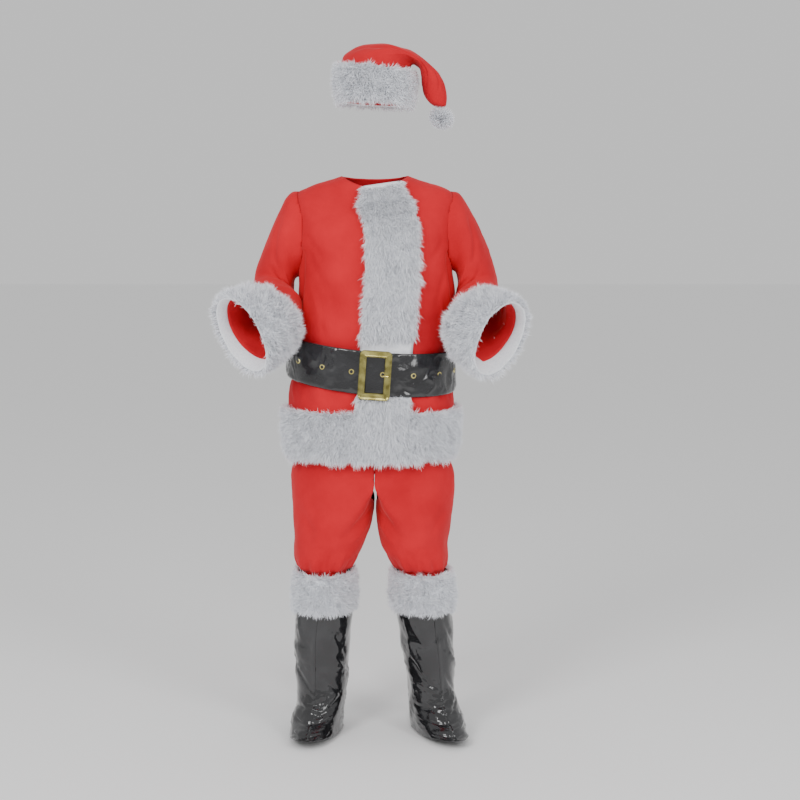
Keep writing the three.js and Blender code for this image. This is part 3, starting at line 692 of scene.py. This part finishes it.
def pile(name, surface, rows, angles, count, reach, length, comb, seed, whole):
    """A fur band: a low solid and tapered blades on it, combed along comb = (around, along)."""
    rng = np.random.default_rng(seed)
    body = reach * BODY_SHARE
    span = np.linspace(angles[0], angles[1], 90)
    if whole:
        span = span[:-1]
    row = rows[0] + (rows[1] - rows[0]) * BAND_ALONG
    grid = surface(span[:, None], row[None, :], ROOT_LIFT + BAND_HIGH[None, :] * body)
    na, nb = grid.shape[:2]
    index = ring(np.arange(na * nb).reshape(na, nb))
    if whole:
        index = np.concatenate((index, index[:1]), 0)
    points = [grid.reshape(-1, 3)]
    faces = quads(index).tolist()
    if not whole:
        faces += [index[0, :-1].tolist(), index[-1, :-1].tolist()]
    base_count = na * nb

    angle = rng.uniform(angles[0], angles[1], count)
    share = rng.uniform(-0.02, 1.02, count)
    at = rows[0] + (rows[1] - rows[0]) * share
    lift = ROOT_LIFT + np.interp(share, BAND_ALONG[1:-1], BAND_HIGH[1:-1]) * body * 0.9
    root = surface(angle, at, lift)
    out = surface.normal(angle, at)
    down = unit(surface.point(angle, at - 0.03) - surface.point(angle, at + 0.03))
    around = unit(surface.point(angle + 0.5, at) - surface.point(angle - 0.5, at))
    faces += add_blades(points, base_count, root, out, around, down, share, length, comb, rng)
    return new_object(name, np.concatenate(points), faces, FUR)


BLADE_WIDTH = 1.7


def add_blades(points, base, root, out, around, down, share, length, comb, rng):
    """Adds tapered blades to points and returns their faces."""
    count = len(root)
    sway = waves(root, 26, 71)[:, None] * around * 0.35 + waves(root, 20, 72)[:, None] * down * 0.3
    edge = (np.clip(0.22 - share, 0, 1) - np.clip(share - 0.78, 0, 1))[:, None] * down * 2.6
    way = unit(out * 0.62 + around * comb[0] + down * comb[1] + sway + edge
               + rng.normal(size=(count, 3)) * 0.24)
    size = (length * rng.uniform(0.55, 1.15, count) * (1 + 0.25 * waves(root, 30, 73)))[:, None]
    middle = root + way * size * 0.5
    bend = unit(way + around * comb[0] * 0.6 + down * (comb[1] * 0.8 + 0.12)
                + rng.normal(size=(count, 3)) * 0.2)
    tip = middle + bend * size * 0.5
    flat = unit(np.cross(way, rng.normal(size=(count, 3)))) * BLADE_WIDTH / 2
    blades = np.stack((root - flat, root + flat, middle - flat * 0.75, middle + flat * 0.75, tip), 1)
    points.append(blades.reshape(-1, 3))
    start = base + np.arange(count)[:, None] * 5
    return (start + np.array([0, 1, 3, 2])).tolist() + (start + np.array([2, 3, 4])).tolist()


# Jacket
def front_angle(x, row):
    s = between(TORSO, np.asarray(row, float))
    half = np.where(x > 0, s["left"], s["right"])
    share = np.minimum(np.abs(x) / half, 0.98) ** (1 / TORSO_SQUARE)
    return 270 + np.sign(x) * np.degrees(np.arcsin(share))


def opening_angle(row):
    x = between(PLACKET_MIDDLE, np.asarray(row, float))["x"]
    return float(front_angle(x, row))


def cells(start, end, step):
    return np.linspace(start, end, max(2, round(abs(end - start) / step) + 1))


torso = Surface(torso_point, TORSO_CREASES, (3.4, 65), soft_cloth(11))
TORSO_TOP = len(TORSO["z"]) - 1
TORSO_ROWS = np.concatenate((cells(0, 11, 0.12), cells(11.15, TORSO_TOP, 0.15)))
mirrored = dict(SLEEVE_CREASES)
mirrored["angle"] = 360 - SLEEVE_CREASES["angle"]
mirrored["to_angle"] = 360 - SLEEVE_CREASES["to_angle"]
sleeves = {
    "right": Surface(sleeve_point(RIGHT_SLEEVE), SLEEVE_CREASES, (1.35, 62), soft_cloth(21)),
    "left": Surface(sleeve_point(LEFT_SLEEVE), mirrored, (1.35, 62), soft_cloth(31)),
}
armholes = {side: block(f"armhole_{side}", form, cells(0, 2.4, 0.2), 60, -PLUSH)
            for side, form in sleeves.items()}
trunk = block("trunk", torso, TORSO_ROWS, 150, 0.3)

PANELS = {
    "jacket_back": (lambda row: (SIDE_GAP, 180 - SIDE_GAP), 72, ("right", "left")),
    "jacket_front_right": (lambda row: (180 + SIDE_GAP, opening_angle(row) - SIDE_GAP), 42, ("right",)),
    "jacket_front_left": (lambda row: (opening_angle(row) + SIDE_GAP, 360 - SIDE_GAP), 38, ("left",)),
}
for name, (edges, across, sides) in PANELS.items():
    piece = shell(name + "_cloth", torso, TORSO_ROWS, edges, across, PLUSH, RED)
    cut(piece, *(armholes[side] for side in sides))
    keep(piece, "red_plush", name)
for side, form in sleeves.items():
    piece = shell(f"jacket_sleeve_{side}_cloth", form, cells(0, SLEEVE_HEM_ROW, 0.1), lambda row: (0, 360),
                  76, PLUSH, RED, closed=True)
    cut(piece, trunk)
    name = f"jacket_sleeve_{side}"
    keep(largest(piece), "red_plush", name)
    seed = 41 if side == "right" else 43
    cuff = pile(f"cuff_fur_{side}_pile", form, CUFF_ROWS, (0, 360), 24000, FUR_REACH, 21, (0.1, -0.1),
                seed, True)
    keep(cuff, "white_fur", f"cuff_fur_{side}")
for tool in [*armholes.values(), trunk]:
    bpy.data.objects.remove(tool, do_unlink=True)

# Hem fur, in three pieces either side of the strip
HEM_ROWS = (-0.05, 1.9)
HEM_MIDDLE = 17
HEM_HALF_GAP = PLACKET_WIDTH / 2
HEM = {
    "hem_fur_right": ((180 + SIDE_GAP, float(front_angle(HEM_MIDDLE - HEM_HALF_GAP, 1))), 17000, 51),
    "hem_fur_left": ((float(front_angle(HEM_MIDDLE + HEM_HALF_GAP, 1)), 360 - SIDE_GAP), 13000, 52),
    "hem_fur_back": ((SIDE_GAP, 180 - SIDE_GAP), 32000, 53),
}
for name, (span, count, seed) in HEM.items():
    piece = pile(name + "_pile", torso, HEM_ROWS, span, count, FUR_REACH, 22, (0.05, 0.25), seed, False)
    keep(piece, "white_fur", name)


def placket_pile():
    """The fur strip down the front, pressed flat under the belt."""
    rng = np.random.default_rng(61)
    rows = np.concatenate((np.array([-0.14]), cells(0.2, TORSO_TOP - 0.02, 0.2)))
    across = np.array([-0.5, -0.51, -0.44, -0.2, 0.2, 0.44, 0.51, 0.5, 0.17, -0.17])
    high = np.array([0, 0.5, 0.9, 1, 1, 0.9, 0.5, 0, 0, 0])

    def place(share, row, lift):
        x = between(PLACKET_MIDDLE, np.clip(row, 0, TORSO_TOP))["x"]
        narrow = np.where(row > 12, 1 - 0.12 * (row - 12), 1)
        angle = front_angle(x + share * PLACKET_WIDTH * narrow, np.maximum(row, 0))
        return angle, torso(angle, row, lift)

    def reach(row):
        pressed = 1 / (1 + np.exp(-(row - 2.75) * 14)) * 1 / (1 + np.exp((row - 5.35) * 14))
        return 10 - 6 * pressed

    row, share = np.meshgrid(rows, across, indexing="ij")
    _, grid = place(share, row, ROOT_LIFT + high[None, :] * reach(row))
    nr, nc = share.shape
    index = np.arange(nr * nc).reshape(nr, nc)
    faces = quads(ring(index)).tolist()
    faces += [index[0].tolist(), index[-1].tolist()]
    points = [grid.reshape(-1, 3)]
    count = 40000
    at = rng.uniform(-0.12, TORSO_TOP - 0.1, count)
    side = rng.uniform(-0.51, 0.51, count)
    free = (at < 2.95) | (at > 5.2)
    at, side = at[free], side[free]
    angle, root = place(side, at, ROOT_LIFT + np.interp(side, across[1:7], high[1:7]) * reach(at) * 0.9)
    out = torso.normal(angle, np.maximum(at, 0.01))
    down = unit(torso.point(angle, at - 0.03) - torso.point(angle, at + 0.03))
    around = unit(torso.point(angle + 0.5, at) - torso.point(angle - 0.5, at))
    splay = (np.clip(np.abs(side) - 0.38, 0, 1) * np.sign(side) * 5)[:, None] * around
    faces += add_blades(points, nr * nc, root, unit(out + splay), around, down, np.full(len(at), 0.5),
                        22, (0.0, 0.55), rng)
    return new_object("placket_fur_pile", np.concatenate(points), faces, FUR)


keep(placket_pile(), "white_fur", "placket_fur")

# Trousers
LEG_ROWS = cells(0, 11, 0.11)
for side, rows, sign in (("right", RIGHT_LEG, -1), ("left", LEFT_LEG, 1)):
    form = Surface(leg_point(rows, sign), LEG_CREASES, (1.5, 58), soft_cloth(81 if sign < 0 else 91))

    def inward(row):
        """How far the inner edge turns in, in degrees, from the shared seam to the crotch."""
        t = min(max((row - CROTCH_START_ROW) / (CROTCH_ROW - CROTCH_START_ROW), 0), 1)
        return 90 * t**2.2

    fronts = shell(f"trousers_{side}_front_cloth", form, LEG_ROWS,
                   lambda row: (270.15 - inward(row), 359.85), 46, PLUSH, RED)
    backs = shell(f"trousers_{side}_back_cloth", form, LEG_ROWS,
                  lambda row: (0.15, 89.85 + inward(row)), 46, PLUSH, RED)
    keep(fronts, "red_plush", f"trousers_{side}_front")
    keep(backs, "red_plush", f"trousers_{side}_back")

# Boot covers
for side, rows, turn in (("right", RIGHT_BOOT, RIGHT_TOE_TURN), ("left", LEFT_BOOT, LEFT_TOE_TURN)):
    rough = crinkled(101 if side == "right" else 111)
    form = Surface(boot_point(rows, turn), BOOT_CREASES, (1.35, 55), rough)
    for half, (start, end) in {"left": (270.15, 449.85), "right": (90.15, 269.85)}.items():
        name = f"boot_cover_{side}_{'outer' if half == side else 'inner'}"
        piece = shell(name + "_vinyl", form, cells(0, 8, 0.09), lambda row, s=start, e=end: (s, e), 48,
                      VINYL, BOOT_BLACK)
        keep(piece, "black_vinyl", name)
    seed = 121 if side == "right" else 122
    trim = pile(f"boot_fur_{side}_pile", form, (0.0, 1.02), (0, 360), 17000, BOOT_FUR_REACH, 18,
                (0.05, -0.15), seed, True)
    keep(trim, "white_fur", f"boot_fur_{side}")

# Hat
hat = Surface(hat_point, HAT_CREASES, (1.2, 45), soft_cloth(131))


def hat_crown():
    """The cone of cloth, open at the head and closed at the tip."""
    around = 84
    rows_out = np.concatenate((cells(0, 2, 0.12), cells(2.1, 11, 0.1)))
    rows_in = rows_out[:-8]
    angle = np.arange(around) * 360.0 / around
    outside = hat(angle[None, :], rows_out[::-1][:, None])
    inside = hat(angle[None, :], rows_in[:, None], -PLUSH)
    grid = np.concatenate((outside, inside))
    count = len(grid)
    points = np.concatenate((grid.reshape(-1, 3), grid[:1].mean(1), grid[-1:].mean(1)))
    index = ring(np.arange(count * around).reshape(count, around))
    faces = quads(index).tolist()
    faces += caps(index[0], count * around)
    faces += caps(index[-1], count * around + 1)
    return face_out(new_object("hat_crown_cloth", points, faces, RED))


HAT_BAND_ROWS = (-0.02, 1.06)
crown = keep(hat_crown(), "red_plush", "hat_crown")
band = pile("hat_band_pile", hat, HAT_BAND_ROWS, (0, 360), 28000, HAT_FUR_REACH, 20, (0.15, 0.1), 141, True)
keep(band, "white_fur", "hat_band")


def pompom_pile():
    rng = np.random.default_rng(151)
    bpy.ops.mesh.primitive_ico_sphere_add(subdivisions=3, radius=1)
    ball = bpy.context.active_object
    core = np.array([v.co[:] for v in ball.data.vertices])
    faces = [list(p.vertices) for p in ball.data.polygons]
    bpy.data.objects.remove(ball, do_unlink=True)
    points = [POMPOM + core * POMPOM_RADIUS * 0.62]
    count = 9000
    out = unit(rng.normal(size=(count, 3)))
    root = POMPOM + out * POMPOM_RADIUS * 0.55
    around = unit(np.cross(out, (0.0, 0.0, 1.0)))
    down = np.cross(around, out)
    faces += add_blades(points, len(core), root, out * 1.6, around, down, np.full(count, 0.5),
                        17, (0, 0), rng)
    return new_object("hat_pompom_pile", np.concatenate(points), faces, FUR)


pompom = keep(pompom_pile(), "white_fur", "hat_pompom")

# Belt
belt = Surface(belt_point)
BELT_START = 262.0


def belt_strap():
    """One strap round the waist, padded and crinkled, its ends meeting behind the buckle."""
    half = BELT_WIDTH / 2
    heights = cells(-half, half, 4.0)
    angle = np.linspace(BELT_START + 0.1, BELT_START + 359.9, 330)
    base = belt_point(angle[:, None], heights[None, :])
    edge = np.clip((half - np.abs(heights)) / 6, 0, 1)[None, :]
    near = np.clip(np.abs((angle - 270 + 180) % 360 - 180) / 14 - 0.4, 0, 1)[:, None]
    squeeze = ridges(base * np.array([1, 1, 0.45]), 30, 161) * np.clip(waves(base, 90, 162) + 0.6, 0, 1)
    puff = 1.2 * edge + (squeeze * 2.4 + waves(base, 45, 163) * 1.1) * edge * (0.3 + 0.7 * near)
    outside = belt(angle[:, None], heights[None, :], puff - 1.2)
    inside = belt(angle[:, None], heights[None, :], -BELT_THICK)
    na, nh = outside.shape[:2]
    index = np.arange(na * nh).reshape(na, nh)
    other = index + na * nh

    faces = [quads(index), quads(other)[:, ::-1]]
    for line, back in ((index[0], other[0]), (other[-1], index[-1]), (index[:, 0], other[:, 0]),
                       (other[:, -1], index[:, -1])):
        faces.append(quads(np.stack((line, back))))
    points = np.concatenate((outside.reshape(-1, 3), inside.reshape(-1, 3)))
    return face_out(new_object("belt_strap_vinyl", points, np.concatenate(faces).tolist(), BELT_BLACK))


strap = keep(belt_strap(), "black_vinyl_strap", "belt_strap")

for name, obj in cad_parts.items():
    if name == "buckle_frame":
        obj.material_slots[0].material = BUCKLE_GOLD
    elif name == "buckle_prong" or name.startswith("eyelet_"):
        obj.material_slots[0].material = EYELET_GOLD


# Camera, floor and lights
def camera():
    data = bpy.data.cameras.new("camera")
    data.lens = CAMERA_LENS
    data.sensor_width = 36
    obj = bpy.data.objects.new("camera", data)
    obj.location = CAMERA_PLACE
    obj.rotation_euler = (math.radians(90 - CAMERA_TILT_DOWN), 0, 0)
    bpy.context.scene.collection.objects.link(obj)
    bpy.context.scene.camera = obj


def floor():
    z = FLOOR_Z * MM
    mesh = bpy.data.meshes.new("floor")
    corners = [(x * FLOOR_HALF, y * FLOOR_HALF, z) for x, y in ((-1, -1), (1, -1), (1, 1), (-1, 1))]
    mesh.from_pydata(corners, [], [(0, 1, 2, 3)])
    material, _, shader = nodes_of("floor")
    shader.inputs["Base Color"].default_value = (0.93, 0.93, 0.93, 1)
    shader.inputs["Roughness"].default_value = 0.9
    mesh.materials.append(material)
    obj = bpy.data.objects.new("floor", mesh)
    bpy.context.scene.collection.objects.link(obj)


def area_light(name, place, aim, size, power):
    data = bpy.data.lights.new(name, "AREA")
    data.shape = "RECTANGLE"
    data.size, data.size_y = size
    data.energy = power
    obj = bpy.data.objects.new(name, data)
    obj.location = place
    obj.rotation_euler = (mathutils.Vector(aim) - mathutils.Vector(place)).to_track_quat("-Z", "Y").to_euler()
    bpy.context.scene.collection.objects.link(obj)


def lights():
    world = bpy.data.worlds.new("world")
    bpy.context.scene.world = world
    world.use_nodes = True
    world.node_tree.nodes["Background"].inputs["Color"].default_value = (1, 1, 1, 1)
    world.node_tree.nodes["Background"].inputs["Strength"].default_value = 0.75
    area_light("key", (-2.2, -3.4, 1.6), (0, 0, -0.5), (1.4, 2.0), 95)
    area_light("fill", (2.6, -3.0, 0.9), (0, 0, -0.6), (1.2, 2.2), 55)
    area_light("strip", (0.4, -3.8, 1.9), (0, 0, -0.9), (0.5, 1.8), 25)


camera()
floor()
lights()
